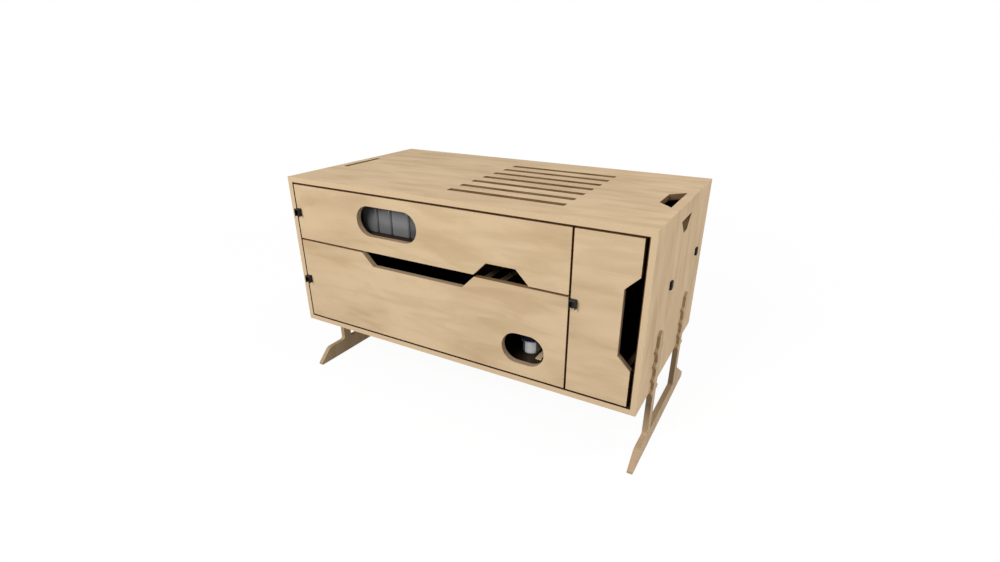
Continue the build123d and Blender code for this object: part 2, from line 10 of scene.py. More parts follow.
import bmesh
import bpy
from bpy.props import FloatProperty, FloatVectorProperty, IntProperty, PointerProperty
from bpy.types import Operator, Panel, PropertyGroup
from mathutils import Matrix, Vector


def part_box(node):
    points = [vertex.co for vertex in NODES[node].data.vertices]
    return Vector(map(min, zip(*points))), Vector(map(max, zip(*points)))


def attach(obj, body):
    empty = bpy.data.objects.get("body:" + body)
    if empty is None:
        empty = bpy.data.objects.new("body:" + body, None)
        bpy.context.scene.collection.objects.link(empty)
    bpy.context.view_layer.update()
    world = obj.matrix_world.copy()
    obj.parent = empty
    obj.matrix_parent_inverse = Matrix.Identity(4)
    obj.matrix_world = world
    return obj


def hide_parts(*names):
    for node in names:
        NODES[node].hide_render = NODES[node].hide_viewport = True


bl_info = {
    "name": "Chuck Box Finishes",
    "version": (1, 0, 0),
    "blender": (4, 5, 0),
    "location": "View3D > Sidebar > Chuck Box",
    "description": "Finishes, kitchen ware and stage for a plywood chuck box",
    "category": "Object",
}

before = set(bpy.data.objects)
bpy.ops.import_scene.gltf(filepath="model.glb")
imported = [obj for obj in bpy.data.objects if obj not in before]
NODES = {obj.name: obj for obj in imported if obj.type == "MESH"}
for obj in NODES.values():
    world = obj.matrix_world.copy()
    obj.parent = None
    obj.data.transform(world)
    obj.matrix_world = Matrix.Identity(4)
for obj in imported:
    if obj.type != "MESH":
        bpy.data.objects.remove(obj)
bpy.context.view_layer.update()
DRAWERS = ("upper", "lower", "right")
FRONT_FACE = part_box("top_panel")[0].y
BACK_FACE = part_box("top_panel")[1].y
AXES = {"X": 0, "Y": 1, "Z": 2}

# Noise cells per metre along each axis. The first axis runs with the grain.
BROAD_CLOUDS = (4.5, 13.0, 13.0)
STREAKS = (8.0, 36.0, 36.0)
FIBRES = (45.0, 1400.0, 1400.0)
FLECKS = (110.0, 700.0, 700.0)
PORES = (900.0, 900.0, 2600.0)
BURNT_PATCHES = (22.0, 22.0, 60.0)
FILM_CLOUDS = (14.0, 22.0, 22.0)
FILM_DIMPLES = 900.0
DULLED_CLOUDS = (60.0, 60.0, 60.0)
SCRATCHES = (1800.0, 140.0, 140.0)
ROLLED_LINES = (2400.0, 30.0, 2400.0)
ZINC_CRYSTALS = 420.0
SPARK_GRAIN = 2600.0
ENAMEL_SPECKS = 700.0
ENAMEL_WAVES = 45.0

# How squarely a face looks along an axis to count as facing it, and a place beyond every piece.
FACING = 0.6
UNLIMITED = 9.0

# Depth of the unburnt strip at the case's front and back, and of the dark rim round a board's outer edges,
# which paints the shade of the gaps round the drawer fronts along with cutter browning.
CLEAN_RIM = 0.001
FRONT_RIM = 0.0002

# Fixed colours inside the effects. The film's is a factor on its own colour.
GLUE_LINE = (0.16, 0.09, 0.045, 1.0)
FILM_SHEEN = (1.7, 1.6, 1.5, 1.0)
DARK_ZINC = (0.2, 0.2, 0.21, 1.0)
ENAMEL_SPECK = (0.05, 0.055, 0.08, 1.0)

# Gloss of the finishes, and the soft border of the enamel's coloured part.
WOOD_SPECULAR = 0.08
PLASTIC_SPECULAR = 0.3
ENAMEL_COAT = 0.4
ENAMEL_BLUR = 0.0004

# Shapes of the kitchen ware. The canisters' tones run from left to right; the third is lighter as a painted
# highlight.
CORNER_STEPS = 10
SMALLEST_CORNER = 0.0008
SAME_POINT = 1e-6
CANISTER_TONES_AND_HIGHLIGHT = (1.0, 1.1, 1.25, 0.6)
CUP_FOOT_RADIUS = 0.0192
CUP_FOOT_HEIGHT = 0.031

# Width of the camera's frame in millimetres.
CAMERA_FRAME = 36.0


# ---------------------------------------------------------------------------
# Settings
# ---------------------------------------------------------------------------

def colour(name, description, default):
    """A colour setting."""
    return FloatVectorProperty(name=name, description=description, default=default,
                               subtype="COLOR", size=3, min=0.0, max=1.0)


def share(name, description, default):
    """A setting from none to full."""
    return FloatProperty(name=name, description=description, default=default,
                         subtype="FACTOR", min=0.0, max=1.0)


def length(name, description, default, low, high):
    """A length setting."""
    return FloatProperty(name=name, description=description, default=default,
                         unit="LENGTH", min=low, max=high)


def power(name, description, default):
    """A setting for the power of a lamp."""
    return FloatProperty(name=name, description=description, default=default, unit="POWER", min=0.0)


class PlywoodSettings(PropertyGroup):
    """Oiled birch plywood: the face veneer and the cut edges."""
    pale: colour("Pale wood", "Colour of the lighter veneer", (0.76, 0.565, 0.355))
    deep: colour("Deep wood", "Colour of the darker streaks", (0.6, 0.425, 0.25))
    core: colour("Core layers", "Colour of the layers whose end grain shows", (0.62, 0.44, 0.265))
    # The routed colour is partly cutter browning and partly painted shade inside the windows and notches.
    routed_and_shade: colour("Routed edge", "Colour of the windows' and notches' edges, browned by the cutter",
                   (0.44, 0.31, 0.19))
    # The scorched colour is partly cutter browning and partly painted shade inside the case's cut-outs.
    scorch_and_shade: colour("Scorched edge", "Colour of the case's cut-outs, browned deeper", (0.17, 0.09, 0.035))
    # The rim colour is partly cutter browning and partly painted shade, in the gaps round the drawer fronts
    # and on the leg frames' edges.
    rim: colour("Rim", "Colour of the drawer fronts' outer edges and of the leg frames' edges",
                (0.25, 0.13, 0.05))
    # The seam colour is painted shade of the narrow gaps round the drawer fronts, partly the film's edge.
    seam: colour("Seam", "Colour of the dark line painted along the inner edges of the case",
                 (0.1, 0.046, 0.016))
    streaks: share("Streaks", "How strongly the darker streaks show", 0.9)
    # The leg frames' browning is partly cutter browning and partly painted shade, and the leg tone darkens
    # their wood as painted shade under and beside the box.
    browning_and_shade: share("Browning", "How brown the cutter leaves the edges of a leg frame", 0.35)
    leg_shade_tone: share("Leg tone", "Tone of the leg frames' wood against the case's", 0.82)
    layer: length("Layer", "Thickness of one layer of the plywood", 0.00133, 0.0005, 0.01)
    # The film's dark colour is partly the film's own and partly painted shade inside the box.
    film: colour("Film", "Colour of the film on the drawer boxes and on the inside of the case",
                 (0.038, 0.023, 0.014))


class HardwareSettings(PropertyGroup):
    """Latches, studs, slides, screws and magnets."""
    plastic: colour("Moulded plastic", "Colour of the latch knobs and side studs", (0.005, 0.0045, 0.0045))
    steel: colour("Dark plated steel", "Colour of the drawer slides", (0.14, 0.14, 0.145))
    zinc: colour("Zinc plating", "Colour of the screws and cams", (0.62, 0.62, 0.6))
    brass: colour("Turned brass", "Colour of the latch sleeves", (0.68, 0.47, 0.2))
    nickel: colour("Nickel plating", "Colour of the magnets", (0.66, 0.65, 0.62))
    beech: colour("Beech", "Colour of the dowels and corner splines", (0.6, 0.4, 0.24))


class WareSettings(PropertyGroup):
    """Canisters and cup kept in the drawers."""
    canister: colour("Canister", "Colour of the canisters' smoked plastic", (0.16, 0.163, 0.166))
    lid: colour("Canister lid", "Colour of the canisters' lids", (0.05, 0.05, 0.051))
    lid_depth: length("Lid depth", "Height of a canister's lid", 0.008, 0.004, 0.03)
    canister_corner: length("Corner", "Radius of a canister's upright corners", 0.0053, 0.003, 0.02)
    enamel: colour("Enamel", "Colour of the cup's enamel", (0.022, 0.024, 0.05))
    # The lip colour is a painted highlight along the cup's shoulder.
    painted_lip_highlight: colour("Lip", "Colour of the pale lip under the cup's bowl", (0.33, 0.31, 0.42))
    foot: colour("Foot", "Colour of the cup's foot", (0.19, 0.215, 0.23))
    # The patch colour paints the pool of light on the front of the cup's foot.
    label: colour("Label", "Colour of the plain patch on the front of the foot", (0.98, 0.985, 1.0))
    cup_sides: IntProperty(name="Cup facets", description="Facets round the cup", default=96, min=24, max=256)


class StageSettings(PropertyGroup):
    """Camera, lamps and floor."""
    camera_place: FloatVectorProperty(name="Camera place", description="Where the camera stands",
                                      default=(0.5805, -1.006, 0.7169), size=3, subtype="TRANSLATION")
    camera_tilt: FloatProperty(name="Camera tilt", description="Angle of the camera from straight down",
                               default=math.radians(64.842), subtype="ANGLE")
    camera_turn: FloatProperty(name="Camera turn", description="Heading of the camera",
                               default=math.radians(29.565), subtype="ANGLE")
    focal_length: FloatProperty(name="Focal length",
                                description="Focal length in millimetres on a 36 mm frame",
                                default=19.543, min=5.0, max=300.0)
    shift_across: FloatProperty(name="Shift across", description="Sideways shift of the picture",
                                default=-0.00085)
    shift_up: FloatProperty(name="Shift up", description="Upward shift of the picture", default=0.02624)
    sky: FloatProperty(name="Sky", description="Strength of the light from all round", default=0.2, min=0.0)
    key: power("Key lamp", "Power of the large lamp in front", 148.0)
    fill: power("Side lamp", "Power of the lamp on the right", 25.0)
    top: power("Back lamp", "Power of the lamp above the back", 22.0)
    floor_size: length("Floor size", "Length of each side of the floor", 12.0, 1.0, 100.0)


# ---------------------------------------------------------------------------
# Node helpers
# ---------------------------------------------------------------------------

class Wiring:
    """Adds nodes to a tree and joins them, laid out in columns."""

    def __init__(self, tree):
        self.tree = tree
        self.count = 0

    def add(self, kind, **values):
        """A node with its settings."""
        node = self.tree.nodes.new(kind)
        node.location = (220 * (self.count // 5), -190 * (self.count % 5))
        self.count += 1
        for name, value in values.items():
            setattr(node, name, value)
        return node

    def feed(self, node, socket, value):
        """Sets a socket, or joins it to another node's output."""
        target = node.inputs[socket]
        if isinstance(value, bpy.types.NodeSocket):
            self.tree.links.new(value, target)
        else:
            target.default_value = value

    def maths(self, operation, *values, clamp=False):
        """The result of a sum on numbers."""
        node = self.add("ShaderNodeMath", operation=operation, use_clamp=clamp)
        for index, value in enumerate(values):
            self.feed(node, index, value)
        return node.outputs[0]

    def weighed(self, first, share_of_first, second, share_of_second):
        """The sum of two numbers, each times its share."""
        return self.maths("ADD", self.maths("MULTIPLY", first, share_of_first),
                          self.maths("MULTIPLY", second, share_of_second))

    def blend(self, factor, first, second, mode="MIX"):
        """Two colours mixed by a factor."""
        node = self.add("ShaderNodeMix", data_type="RGBA", blend_type=mode)
        self.feed(node, 0, factor)
        self.feed(node, 6, first)
        self.feed(node, 7, second)
        return node.outputs[2]

    def spread(self, value, low, high, out_low=0.0, out_high=1.0, smooth=True):
        """A number mapped from one span to another."""
        node = self.add("ShaderNodeMapRange", interpolation_type="SMOOTHSTEP" if smooth else "LINEAR")
        for index, number in enumerate((value, low, high, out_low, out_high)):
            self.feed(node, index, number)
        return node.outputs[0]

    def stretched(self, position, scale, shift=(0.0, 0.0, 0.0)):
        """Coordinates scaled along each axis."""
        node = self.add("ShaderNodeMapping")
        self.feed(node, "Vector", position)
        self.feed(node, "Scale", scale)
        self.feed(node, "Location", shift)
        return node.outputs[0]

    def noise(self, vector, scale=1.0, detail=3.0, rough=0.5, distortion=0.0):
        """Soft noise."""
        node = self.add("ShaderNodeTexNoise")
        self.feed(node, "Vector", vector)
        self.feed(node, "Scale", scale)
        self.feed(node, "Detail", detail)
        self.feed(node, "Roughness", rough)
        self.feed(node, "Distortion", distortion)
        return node.outputs[0]


def rgba(value):
    """A colour with full alpha."""
    return (*value, 1.0)


def new_group(name, inputs, outputs):
    """An empty shader group with its sockets, its wiring, its input node and its output node."""
    tree = bpy.data.node_groups.new(name, "ShaderNodeTree")
    for socket, kind, default in inputs:
        made = tree.interface.new_socket(name=socket, in_out="INPUT", socket_type=kind)
        if default is not None:
            made.default_value = default
    for socket, kind in outputs:
        tree.interface.new_socket(name=socket, in_out="OUTPUT", socket_type=kind)
    wires = Wiring(tree)
    return tree, wires, wires.add("NodeGroupInput"), wires.add("NodeGroupOutput")


def group_named(name, build):
    """The group of that name, built the first time that it is needed."""
    return bpy.data.node_groups.get(name) or build(name)


def place_group(wires, name, build, **values):
    """A group node with its values; underscores in a name stand for spaces."""
    node = wires.add("ShaderNodeGroup", node_tree=group_named(name, build))
    for socket, value in values.items():
        wires.feed(node, socket.replace("_", " "), value)
    return node


# ---------------------------------------------------------------------------
# Shared effects
# ---------------------------------------------------------------------------

def build_veneer(name):
    """Rotary cut birch: soft streaks along X, fine fibres and small flecks."""
    tree, w, given, result = new_group(
        name,
        [("Position", "NodeSocketVector", None), ("Pale", "NodeSocketColor", (0.7, 0.5, 0.3, 1)),
         ("Deep", "NodeSocketColor", (0.5, 0.3, 0.2, 1)), ("Streaks", "NodeSocketFloat", 0.6)],
        [("Color", "NodeSocketColor"), ("Roughness", "NodeSocketFloat"), ("Height", "NodeSocketFloat")])
    grain = given.outputs["Position"]
    broad = w.noise(w.stretched(grain, BROAD_CLOUDS), detail=2.0, distortion=0.3)
    streak = w.noise(w.stretched(grain, STREAKS, (3.1, 0.0, 0.0)), distortion=0.45)
    fibre = w.noise(w.stretched(grain, FIBRES), detail=2.0, rough=0.6)
    fleck = w.noise(w.stretched(grain, FLECKS, (7.0, 0.0, 0.0)), detail=1.0)
    broad_mask = w.spread(broad, 0.38, 0.64)
    streak_mask = w.spread(streak, 0.42, 0.66)
    joined = w.weighed(broad_mask, 0.5, streak_mask, 0.5)
    factor = w.maths("MULTIPLY", joined, given.outputs["Streaks"], clamp=True)
    base = w.blend(factor, given.outputs["Pale"], given.outputs["Deep"])
    fibre_tone = w.spread(fibre, 0.3, 0.7, 0.975, 1.02, smooth=False)
    fleck_tone = w.spread(fleck, 0.66, 0.74, 1.0, 0.92)
    tone = w.maths("MULTIPLY", fibre_tone, fleck_tone)
    shade = w.add("ShaderNodeCombineColor")
    for index in range(3):
        w.feed(shade, index, tone)
    w.feed(result, "Color", w.blend(1.0, base, shade.outputs[0], "MULTIPLY"))
    both = w.maths("ADD", fibre, streak)
    w.feed(result, "Roughness", w.spread(both, 0.6, 1.4, 0.56, 0.7, smooth=False))
    w.feed(result, "Height", w.weighed(fibre, 0.7, streak, 0.3))
    return tree


def build_layers(name):
    """Edge of the plywood: long grain and end grain layers in turn, with a dark glue line between."""
    tree, w, given, result = new_group(
        name,
        [("Position", "NodeSocketVector", None), ("Veneer", "NodeSocketColor", (0.7, 0.5, 0.3, 1)),
         ("Core", "NodeSocketColor", (0.5, 0.35, 0.2, 1)), ("Routed", "NodeSocketColor", (0.3, 0.18, 0.1, 1)),
         ("Layer", "NodeSocketFloat", 0.00133), ("Browning", "NodeSocketFloat", 0.0)],
        [("Color", "NodeSocketColor"), ("Roughness", "NodeSocketFloat"), ("Height", "NodeSocketFloat")])
    position = given.outputs["Position"]
    parts = w.add("ShaderNodeSeparateXYZ")
    w.feed(parts, 0, position)
    step = w.maths("DIVIDE", parts.outputs[2], given.outputs["Layer"])
    turn = w.maths("FRACT", w.maths("MULTIPLY", step, 0.5))
    core = w.maths("GREATER_THAN", turn, 0.5)
    line = w.maths("ABSOLUTE", w.maths("SUBTRACT", w.maths("FRACT", step), 0.5))
    glue = w.spread(line, 0.44, 0.49)
    pores = w.noise(w.stretched(position, PORES), detail=2.0)
    patches = w.noise(w.stretched(position, BURNT_PATCHES))
    wood = w.blend(w.maths("MULTIPLY", core, 0.25), given.outputs["Veneer"], given.outputs["Core"])
    wood = w.blend(w.maths("MULTIPLY", glue, 0.1), wood, GLUE_LINE)
    speck = w.maths("MULTIPLY", w.spread(pores, 0.55, 0.75), 0.3)
    wood = w.blend(speck, wood, given.outputs["Core"])
    uneven = w.spread(patches, 0.2, 0.8, 0.82, 1.0)
    # The browned colour mixed in here is partly cutter browning and partly painted shade.
    burnt_and_shaded = w.maths("MULTIPLY", given.outputs["Browning"], uneven, clamp=True)
    w.feed(result, "Color", w.blend(burnt_and_shaded, wood, given.outputs["Routed"]))
    w.feed(result, "Roughness", w.spread(pores, 0.3, 0.7, 0.66, 0.82, smooth=False))
    w.feed(result, "Height", w.maths("SUBTRACT", pores, w.maths("MULTIPLY", glue, 0.6)))
    return tree


def build_film(name):
    """Dark film pressed on plywood: a faint cloudy tone and a fine mesh of dimples."""
    tree, w, given, result = new_group(
        name,
        [("Position", "NodeSocketVector", None), ("Film", "NodeSocketColor", (0.03, 0.02, 0.01, 1))],
        [("Color", "NodeSocketColor"), ("Roughness", "NodeSocketFloat"), ("Height", "NodeSocketFloat")])
    position = given.outputs["Position"]
    cloud = w.noise(w.stretched(position, FILM_CLOUDS), detail=4.0, rough=0.6)
    dimples = w.noise(position, FILM_DIMPLES, detail=1.0)
    lighter = w.blend(1.0, given.outputs["Film"], FILM_SHEEN, "MULTIPLY")
    w.feed(result, "Color", w.blend(w.spread(cloud, 0.35, 0.7), given.outputs["Film"], lighter))
    w.feed(result, "Roughness", w.spread(cloud, 0.3, 0.7, 0.34, 0.5, smooth=False))
    w.feed(result, "Height", dimples)
    return tree


def build_edge_finder(name):
    """1 on the cut edges of a board, and 1 on those that take the browned colour, which is partly cutter
    browning and partly painted shade.
    """
    tree, w, given, result = new_group(
        name,
        [("Through", "NodeSocketFloat", 1.0), ("Depth", "NodeSocketFloat", 0.0),
         ("Clean Front", "NodeSocketFloat", -UNLIMITED), ("Clean Back", "NodeSocketFloat", UNLIMITED)],
        [("Edge", "NodeSocketFloat"), ("Browned", "NodeSocketFloat")])
    edge = w.maths("LESS_THAN", w.maths("ABSOLUTE", given.outputs["Through"]), FACING)
    behind = w.maths("GREATER_THAN", given.outputs["Depth"], given.outputs["Clean Front"])
    before = w.maths("LESS_THAN", given.outputs["Depth"], given.outputs["Clean Back"])
    w.feed(result, "Edge", edge)
    w.feed(result, "Browned", w.maths("MULTIPLY", edge, w.maths("MULTIPLY", behind, before)))
    return tree


def build_rim_finder(name):
    """1 within a small distance of the outer edges of a board that stands in the XZ plane, where the dark rim
    paints the shade of the gaps round the drawer fronts.
    """
    tree, w, given, result = new_group(
        name,
        [("Position", "NodeSocketVector", None), ("Low", "NodeSocketVector", None),
         ("High", "NodeSocketVector", None)],
        [("Rim", "NodeSocketFloat")])
    reach = []
    for first, second in (("Position", "Low"), ("High", "Position")):
        gap = w.add("ShaderNodeVectorMath", operation="SUBTRACT")
        w.feed(gap, 0, given.outputs[first])
        w.feed(gap, 1, given.outputs[second])
        split = w.add("ShaderNodeSeparateXYZ")
        w.feed(split, 0, gap.outputs[0])
        reach += [split.outputs[0], split.outputs[2]]
    nearest = w.maths("MINIMUM", w.maths("MINIMUM", reach[0], reach[1]),
                      w.maths("MINIMUM", reach[2], reach[3]))
    w.feed(result, "Rim", w.maths("LESS_THAN", nearest, FRONT_RIM))
    return tree


def build_scuffs(name):
    """Handling marks: faint clouds of dulled surface and fine scratches."""
    tree, w, given, result = new_group(
        name,
        [("Position", "NodeSocketVector", None), ("Size", "NodeSocketFloat", 1.0),
         ("Dull", "NodeSocketFloat", 0.5), ("Shiny", "NodeSocketFloat", 0.3)],
        [("Roughness", "NodeSocketFloat"), ("Mask", "NodeSocketFloat"), ("Height", "NodeSocketFloat")])
    sized = w.add("ShaderNodeVectorMath", operation="SCALE")
    w.feed(sized, 0, given.outputs["Position"])
    w.feed(sized, "Scale", given.outputs["Size"])
    cloud = w.noise(w.stretched(sized.outputs[0], DULLED_CLOUDS), detail=4.0, rough=0.65)
    scratch = w.noise(w.stretched(sized.outputs[0], SCRATCHES), rough=0.7, distortion=0.4)
    marks = w.spread(scratch, 0.6, 0.7)
    mask = w.maths("MULTIPLY", marks, w.spread(cloud, 0.45, 0.7), clamp=True)
    level = w.maths("ADD", w.spread(cloud, 0.3, 0.75), w.maths("MULTIPLY", mask, 0.5), clamp=True)
    w.feed(result, "Roughness", w.spread(level, 0.0, 1.0, given.outputs["Shiny"], given.outputs["Dull"],
                                         smooth=False))
    w.feed(result, "Mask", mask)
    w.feed(result, "Height", w.maths("SUBTRACT", w.maths("MULTIPLY", cloud, 0.3), mask))
    return tree


def build_rolled(name):
    """Rolled or drawn metal: long fine lines along Y."""
    tree, w, given, result = new_group(
        name,
        [("Position", "NodeSocketVector", None), ("Color", "NodeSocketColor", (0.6, 0.6, 0.6, 1)),
         ("Spangle", "NodeSocketFloat", 0.5)],
        [("Color", "NodeSocketColor"), ("Roughness", "NodeSocketFloat"), ("Height", "NodeSocketFloat")])
    lines = w.noise(w.stretched(given.outputs["Position"], ROLLED_LINES), rough=0.7)
    cells = w.add("ShaderNodeTexVoronoi")
    w.feed(cells, "Vector", given.outputs["Position"])
    w.feed(cells, "Scale", ZINC_CRYSTALS)
    grey = w.add("ShaderNodeRGBToBW")
    w.feed(grey, 0, cells.outputs["Color"])
    crystal = w.maths("MULTIPLY", grey.outputs[0], given.outputs["Spangle"])
    lined = w.spread(lines, 0.35, 0.7, 0.0, 0.22)
    factor = w.maths("ADD", w.maths("MULTIPLY", crystal, 0.3), lined, clamp=True)
    w.feed(result, "Color", w.blend(factor, given.outputs["Color"], DARK_ZINC))
    brushed = w.spread(lines, 0.3, 0.7, 0.26, 0.4)
    w.feed(result, "Roughness", w.maths("ADD", brushed, w.maths("MULTIPLY", crystal, 0.1)))
    w.feed(result, "Height", lines)
    return tree


# ---------------------------------------------------------------------------
# Materials
# ---------------------------------------------------------------------------

def new_material(name):
    """A material with its wiring, its shader and the coordinates of the row frame."""
    material = bpy.data.materials.new(name)
    material.use_nodes = True
    material.node_tree.nodes.clear()
    wires = Wiring(material.node_tree)
    out = wires.add("ShaderNodeOutputMaterial")
    shader = wires.add("ShaderNodeBsdfPrincipled")
    wires.feed(out, 0, shader.outputs[0])
    where = wires.add("ShaderNodeTexCoord")
    return material, wires, shader, where


def raise_surface(wires, shader, height, strength, distance):
    """Bump from a height."""
    bump = wires.add("ShaderNodeBump")
    wires.feed(bump, "Height", height)
    wires.feed(bump, "Strength", strength)
    wires.feed(bump, "Distance", distance)
    wires.feed(shader, "Normal", bump.outputs[0])


def laid_along(wires, split, axes):
    """Coordinates put in the order of the given axes."""
    laid = wires.add("ShaderNodeCombineXYZ")
    for index, axis in enumerate(axes):
        wires.feed(laid, index, split.outputs[AXES[axis]])
    return laid.outputs[0]


def parts_of(wires, vector):
    """A node that splits a vector into its three numbers."""
    split = wires.add("ShaderNodeSeparateXYZ")
    wires.feed(split, 0, vector)
    return split


def scuffed(wires, where, **values):
    """The shared handling marks, at an object's own coordinates."""
    return place_group(wires, "Handling marks", build_scuffs, Position=where.outputs["Object"], **values)


def plywood(name, lay, settings, shift, clean_front=-UNLIMITED, clean_back=UNLIMITED, brown=None,
            browning_and_shade=1.0, film=0, board=None, line=0.0, tone=1.0):
    """Plywood whose grain runs along the first axis of lay, with its thickness along the last one.

    film is 1 or -1 where only the face that looks that way along the thickness is filmed, and 2 for
    both; the dark film also paints the shade inside the box. board names the node that the plywood
    dresses. Where line is given, its edges are dark for that width along the filmed face, a painted
    shade of the gaps round the drawer fronts that is partly the film's edge, and otherwise its outer
    edges are darker than its cut-outs, a painted shade of those gaps that is partly cutter browning.
    The browned edges are partly painted shade in recesses and gaps.
    """
    material, w, shader, where = new_material(name)
    through = AXES[lay[2]]
    split = parts_of(w, where.outputs["Object"])
    laid = laid_along(w, split, lay)
    moved = w.stretched(laid, (1.0, 1.0, 1.0), shift)
    looks_at = parts_of(w, where.outputs["Normal"]).outputs[through]
    finder = place_group(w, "Cut edge finder", build_edge_finder, Through=looks_at,
                         Depth=split.outputs[AXES["Y"]], Clean_Front=clean_front, Clean_Back=clean_back)
    pale, deep, core = (rgba([part * tone for part in base])
                        for base in (settings.pale, settings.deep, settings.core))
    # Edges take the browned colour, partly cutter browning and partly painted shade in recesses and gaps.
    amount = w.maths("MULTIPLY", finder.outputs["Browned"], browning_and_shade)
    browned_and_shaded = rgba(brown or settings.routed_and_shade)
    if board:
        low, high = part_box(board)
    # On a drawer front the outer edges take the rim colour, painted shade of the gaps partly with cutter
    # browning.
    if board and not line:
        outer = place_group(w, "Rim finder", build_rim_finder, Position=where.outputs["Object"],
                            Low=low, High=high)
        browned_and_shaded = w.blend(outer.outputs["Rim"], browned_and_shaded, rgba(settings.rim))
    edge = place_group(w, "Plywood layers", build_layers, Position=laid, Veneer=pale, Core=core,
                       Routed=browned_and_shaded, Layer=settings.layer, Browning=amount)
    finish = edge
    if film != 2:
        finish = place_group(w, "Birch veneer", build_veneer, Position=moved, Pale=pale, Deep=deep,
                             Streaks=settings.streaks)
    looks = {part: finish.outputs[part] for part in ("Color", "Roughness", "Height")}
    cut = {part: edge.outputs[part] for part in looks}
    # The seam is painted shade of the gap along the filmed face, partly the film's edge.
    if line:
        filmed = (high if film > 0 else low)[through]
        depth = w.maths("ABSOLUTE", w.maths("SUBTRACT", split.outputs[through], filmed))
        cut["Color"] = w.blend(w.maths("LESS_THAN", depth, line), cut["Color"], rgba(settings.seam))
    layers = [(finder.outputs["Edge"], cut)] if film != 2 else []
    if film:
        pressed = place_group(w, "Pressed film", build_film, Position=moved, Film=rgba(settings.film))
        if film == 2:
            along = w.maths("ABSOLUTE", looks_at)
        else:
            along = w.maths("MULTIPLY", looks_at, float(film))
        layers.append((w.maths("GREATER_THAN", along, FACING), pressed.outputs))
    for mask, over in layers:
        looks["Color"] = w.blend(mask, looks["Color"], over["Color"])
        for part in ("Roughness", "Height"):
            looks[part] = w.weighed(mask, over[part], w.maths("SUBTRACT", 1.0, mask), looks[part])
    w.feed(shader, "Base Color", looks["Color"])
    w.feed(shader, "Roughness", looks["Roughness"])
    raise_surface(w, shader, looks["Height"], strength=0.18, distance=0.0004)
    shader.inputs["Specular IOR Level"].default_value = WOOD_SPECULAR
    return material


def solid_wood(name, base, grain_axis):
    """Plain beech, grain along one axis."""
    material, w, shader, where = new_material(name)
    across = [axis for axis in AXES if axis != grain_axis]
    laid = laid_along(w, parts_of(w, where.outputs["Object"]), [grain_axis, *across])
    deep = rgba([part * 0.7 for part in base])
    face = place_group(w, "Birch veneer", build_veneer, Position=laid, Pale=rgba(base), Deep=deep,
                       Streaks=0.7)
    w.feed(shader, "Base Color", face.outputs["Color"])
    w.feed(shader, "Roughness", face.outputs["Roughness"])
    raise_surface(w, shader, face.outputs["Height"], strength=0.2, distance=0.0003)
    return material


def moulded_plastic(name, base, shiny, dull, size=1.0, grain=0.00012):
    """Moulded plastic with a fine spark grain and handling marks."""
    material, w, shader, where = new_material(name)
    marks = scuffed(w, where, Size=size, Dull=dull, Shiny=shiny)
    worn = rgba([min(1.0, part * 2.2 + 0.02) for part in base])
    w.feed(shader, "Base Color", w.blend(w.maths("MULTIPLY", marks.outputs["Mask"], 0.5), rgba(base), worn))
    w.feed(shader, "Roughness", marks.outputs["Roughness"])
    spark = w.noise(where.outputs["Object"], SPARK_GRAIN, detail=2.0)
    height = w.maths("ADD", spark, w.maths("MULTIPLY", marks.outputs["Height"], 0.5))
    raise_surface(w, shader, height, strength=0.25, distance=grain)
    shader.inputs["Specular IOR Level"].default_value = PLASTIC_SPECULAR
    return material


def plated_metal(name, base, spangle):
    """Rolled, drawn or turned metal."""
    material, w, shader, where = new_material(name)
    metal = place_group(w, "Rolled metal", build_rolled, Position=where.outputs["Object"], Color=rgba(base),
                        Spangle=spangle)
    marks = scuffed(w, where, Size=1.0, Dull=0.16, Shiny=0.0)
    w.feed(shader, "Base Color", metal.outputs["Color"])
    rough = w.maths("ADD", metal.outputs["Roughness"], marks.outputs["Roughness"], clamp=True)
    w.feed(shader, "Roughness", rough)
    shader.inputs["Metallic"].default_value = 1.0
    raise_surface(w, shader, metal.outputs["Height"], strength=0.15, distance=0.0001)
    return material


def enamel(name, base, painted_light_band, low, high):
    """Glossy enamel on sheet steel, with fine specks and one part of a second colour between two corners,
    which on the cup paints a highlight on the lip and a pool of light on the foot.
    """
    material, w, shader, where = new_material(name)
    split = parts_of(w, where.outputs["Object"])
    specks = w.noise(where.outputs["Object"], ENAMEL_SPECKS, detail=1.0)
    waves = w.noise(where.outputs["Object"], ENAMEL_WAVES, detail=2.0)
    marks = scuffed(w, where, Size=1.0, Dull=0.22, Shiny=0.08)
    inside = 1.0
    for axis in range(3):
        above = w.spread(split.outputs[axis], low[axis] - ENAMEL_BLUR, low[axis] + ENAMEL_BLUR)
        below = w.spread(split.outputs[axis], high[axis] + ENAMEL_BLUR, high[axis] - ENAMEL_BLUR)
        inside = w.maths("MULTIPLY", inside, w.maths("MULTIPLY", above, below))
    banded = w.blend(inside, rgba(base), rgba(painted_light_band))
    specked = w.blend(w.maths("MULTIPLY", w.spread(specks, 0.7, 0.74), 0.6), banded, ENAMEL_SPECK)
    w.feed(shader, "Base Color", specked)
    w.feed(shader, "Roughness", marks.outputs["Roughness"])
    shader.inputs["Coat Weight"].default_value = ENAMEL_COAT
    raise_surface(w, shader, waves, strength=0.2, distance=0.0006)
    return material


def dress(node, material):
    """Gives a piece one material."""
    data = NODES[node].data
    data.materials.clear()
    data.materials.append(material)


# ---------------------------------------------------------------------------
# Mesh helpers
# ---------------------------------------------------------------------------

def mesh_object(name, bm, material):
    """An object from a bmesh, with smooth faces and sharp corners kept."""
    mesh = bpy.data.meshes.new(name)
    bmesh.ops.recalc_face_normals(bm, faces=bm.faces)
    bm.to_mesh(mesh)
    bm.free()
    mesh.materials.append(material)
    made = bpy.data.objects.new(name, mesh)
    bpy.context.scene.collection.objects.link(made)
    for face in mesh.polygons:
        face.use_smooth = True
    return made


